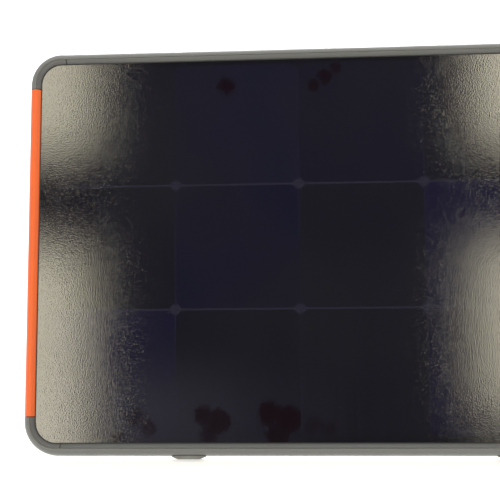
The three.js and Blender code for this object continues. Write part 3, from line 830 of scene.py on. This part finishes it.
def build_refined():
    """The stand, feet, bumpers, cover and controller, each with rounded edges."""
    for side in ("left", "right"):
        refine(f"stand_leg_{side}", 0.9, MATERIALS["stand"])
        refine(f"stand_foot_{side}", 0.8, MATERIALS["rubber"])
        refine(f"stand_bracket_{side}", 0.5, MATERIALS["steel"])
        refine(f"stand_pin_{side}", 0.3, MATERIALS["steel"])
        refine(f"edge_foot_{side}", 0.7, MATERIALS["foot"])
        for end in ("top", "bottom"):
            refine(f"rear_bumper_{end}_{side}", 0.9, MATERIALS["rubber"])
    refine("stand_crossbar", 1.0, MATERIALS["stand"])
    refine("rear_cover", 0.6, MATERIALS["cover"])
    refine("controller_housing", 0.7, MATERIALS["housing"])
    refine("controller_lid", 0.8, MATERIALS["housing"])
    refine("port_cover", 0.35, MATERIALS["rubber"])
    refine("port_cover_rod", 0.15, MATERIALS["steel"])
    refine("usb_a_port", 0.12, MATERIALS["steel"], 2)
    refine("usb_c_port", 0.12, MATERIALS["steel"], 2)


# ---------------------------------------------------------------- stage


def build_floor():
    """A plain pale floor that also gives off a little light."""
    t = Tree("stage_floor")
    t.finish(Base_Color=(0.88, 0.88, 0.875), Roughness=0.85)
    t.shader.inputs["Specular IOR Level"].default_value = 0.1
    t.shader.inputs["Emission Color"].default_value = (1, 1, 1, 1)
    t.shader.inputs["Emission Strength"].default_value = 0.45
    mesh = bpy.data.meshes.new("stage_floor")
    corners = [(sx * FLOOR_HALF, sy * FLOOR_HALF, 0) for sx, sy in ((-1, -1), (1, -1), (1, 1), (-1, 1))]
    mesh.from_pydata(corners, [], [(0, 1, 2, 3)])
    floor = bpy.data.objects.new("stage_floor", mesh)
    mesh.materials.append(t.material)
    bpy.context.scene.collection.objects.link(floor)


def area_lamp(name, long, wide, radiance, colour, matrix):
    """A rectangular lamp of a given brightness that the camera doesn't see."""
    data = bpy.data.lights.new(name, "AREA")
    data.shape = "RECTANGLE"
    data.size, data.size_y = long, wide
    data.energy = radiance * math.pi * long * wide
    data.color = colour
    lamp = bpy.data.objects.new(name, data)
    lamp.matrix_world = matrix
    lamp.visible_camera = False
    bpy.context.scene.collection.objects.link(lamp)


def softbox(name, x0, x1, y0, y1, radiance):
    """A warm lamp over the leaf, parallel to it, from x0 to x1 and from y0 to y1 in metres."""
    middle = Matrix.Translation(((x0 + x1) / 2, (y0 + y1) / 2, LAMP_HEIGHT))
    area_lamp(name, x1 - x0, y1 - y0, radiance, (1.0, 0.93, 0.72), LEAF @ middle)


def build_lights():
    """Four lamps that the laminate mirrors, strips in front, behind and above, and a soft sun from behind."""
    softbox("lamp_left_low", -1.25, -0.59, -0.50, 0.185, 5.6)
    softbox("lamp_left_high", -1.25, -0.58, 0.44, 0.95, 5.5)
    softbox("lamp_right_low", 0.445, 1.2, -0.27, 0.185, 4.9)
    softbox("lamp_right_high", 0.465, 1.2, 0.44, 0.95, 6.0)
    for name, at, tilt, long, wide, radiance in (
        ("lamp_front", (0, -2.2, 0.16), 90, 2.6, 0.3, 6),
        ("lamp_back", (0, 2.4, 0.8), -90, 2.6, 0.8, 6),
        ("lamp_over", (0, 0.05, 0.95), 0, 1.8, 0.3, 2.5),
    ):
        turned = Matrix.Translation(at) @ Matrix.Rotation(math.radians(tilt), 4, "X")
        area_lamp(name, long, wide, radiance, (1, 1, 1), turned)
    data = bpy.data.lights.new("lamp_behind", "SUN")
    data.energy = 2.2
    data.angle = math.radians(30)
    sun = bpy.data.objects.new("lamp_behind", data)
    sun.rotation_euler = (math.radians(-55), 0, 0)
    bpy.context.scene.collection.objects.link(sun)


def build_world():
    """White to the camera. Other rays see a bright room that is dark straight out from the leaf's face."""
    world = bpy.data.worlds.new("studio")
    world.use_nodes = True
    nodes, links = world.node_tree.nodes, world.node_tree.links
    white = nodes["Background"]
    white.inputs["Color"].default_value = (1, 1, 1, 1)
    room = nodes.new("ShaderNodeBackground")
    room.inputs["Color"].default_value = (0.95, 0.97, 1.0, 1)
    facing = nodes.new("ShaderNodeVectorMath")
    facing.operation = "DOT_PRODUCT"
    facing.inputs[1].default_value = LEAF.to_3x3() @ Vector((0, 0, 1))
    links.new(nodes.new("ShaderNodeTexCoord").outputs["Generated"], facing.inputs[0])
    product = nodes.new("ShaderNodeMath")
    product.operation = "MULTIPLY"
    dark_in_front, brighter_behind = (0.45, 0.88, 1.15, 0.03), (-0.1, -0.7, 1.0, 1.7)
    for factor, numbers in zip(product.inputs, (dark_in_front, brighter_behind)):
        level = nodes.new("ShaderNodeMapRange")
        level.interpolation_type = "SMOOTHSTEP"
        set_range(level, *numbers)
        links.new(facing.outputs["Value"], level.inputs["Value"])
        links.new(level.outputs["Result"], factor)
    links.new(product.outputs[0], room.inputs["Strength"])
    mix = nodes.new("ShaderNodeMixShader")
    links.new(nodes.new("ShaderNodeLightPath").outputs["Is Camera Ray"], mix.inputs["Fac"])
    links.new(room.outputs[0], mix.inputs[1])
    links.new(white.outputs[0], mix.inputs[2])
    links.new(mix.outputs[0], nodes["World Output"].inputs["Surface"])
    bpy.context.scene.world = world


def build_camera():
    """Almost square to the leaf, a little below its middle, framing its left part."""
    forward = Vector(CAMERA_FORWARD).normalized()
    up = Vector(CAMERA_RIGHT).cross(forward).normalized()
    right = forward.cross(up)
    turn = Matrix((right, up, -forward)).transposed()
    data = bpy.data.cameras.new("camera")
    data.sensor_width = 36
    data.lens = LENS
    data.clip_start, data.clip_end = 0.01, 100
    camera = bpy.data.objects.new("camera", data)
    camera.matrix_world = LEAF @ (Matrix.Translation(CAMERA_AT) @ turn.to_4x4())
    bpy.context.scene.collection.objects.link(camera)
    bpy.context.scene.camera = camera


dress_cad()
build_rim()
build_bezels()
build_grips()
build_gasket_and_shadow_line()
build_refined()
build_ribs()
build_screws()
build_sockets()
build_floor()
build_lights()
build_world()
build_camera()
bpy.context.scene.view_settings.view_transform = "Standard"
